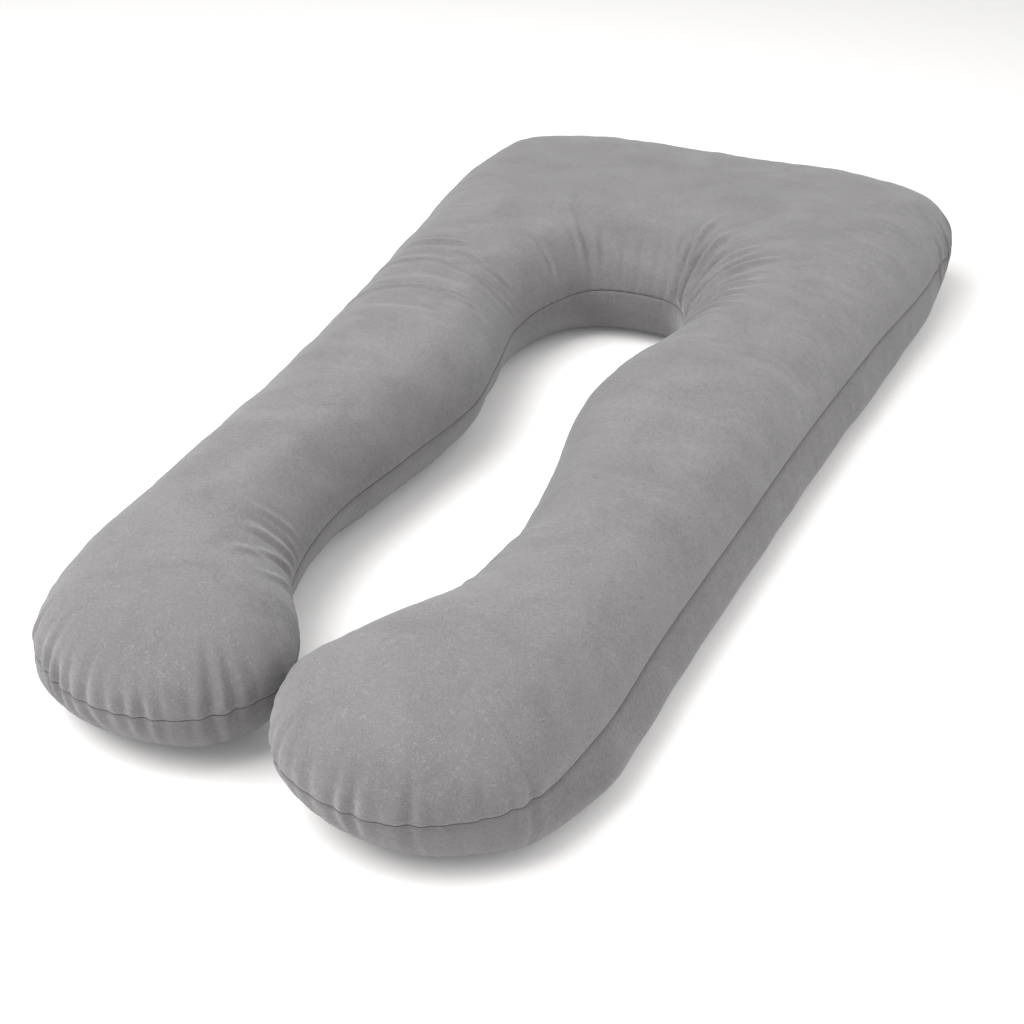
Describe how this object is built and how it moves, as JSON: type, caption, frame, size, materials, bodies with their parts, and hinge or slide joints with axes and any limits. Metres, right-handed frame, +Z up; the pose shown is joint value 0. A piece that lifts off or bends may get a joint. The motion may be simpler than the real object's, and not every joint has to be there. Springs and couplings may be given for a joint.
{
  "type": "nursing pillow",
  "caption": "U-shaped full-body maternity and nursing pillow with a soft velour cover, a seam round its middle and a zip along the head edge.",
  "frame": {"origin": "centre of the pillow's footprint, on the surface it lies on", "axes": "+Z up from the surface; +Y towards the closed head end of the U; the two feet point to -Y; +X towards the leg on the right when the pillow is seen from its feet"},
  "size_m": [0.7626, 1.5019, 0.168],
  "materials": {
    "velour": "matte",
    "velour_inside": "matte",
    "sewing_thread": "matte",
    "cotton_liner": "matte",
    "polyester_fibre": "matte",
    "zip_tape": "matte",
    "nylon_coil": "satin",
    "zinc_alloy": "satin",
    "woven_label": "matte"
  },
  "bodies": {
    "pillow": {"cover_top_panel": "velour", "cover_bottom_panel": "velour", "cover_seam_allowance": "velour_inside", "cover_seam_stitching": "sewing_thread", "liner_top_panel": "cotton_liner", "liner_bottom_panel": "cotton_liner", "liner_closing_stitch": "sewing_thread", "fibre_filling": "polyester_fibre", "zip_tape_upper": "zip_tape", "zip_tape_lower": "zip_tape", "zip_coil_upper": "nylon_coil", "zip_coil_lower": "nylon_coil", "zip_bottom_stop": "zinc_alloy", "zip_top_stop_upper": "zinc_alloy", "zip_top_stop_lower": "zinc_alloy", "zip_end_tab_left": "zip_tape", "zip_end_tab_right": "zip_tape", "zip_guard_flap": "velour_inside", "inner_care_label": "woven_label"},
    "zip_slider": {"zip_slider_body": "zinc_alloy", "zip_slider_bridge": "zinc_alloy"},
    "zip_pull": {"zip_pull_tab": "zinc_alloy"}
  },
  "joints": [
    {"name": "slider_travel", "type": "slide", "parent": "pillow", "child": "zip_slider", "axis": [-1, 0, 0], "range_m": [0, 0.364]},
    {"name": "pull_swing", "type": "hinge", "parent": "zip_slider", "child": "zip_pull", "pos_m": [0.1823, 0.749, 0.085], "axis": [0, 0, -1], "range_deg": [0, 170]}
  ]
}
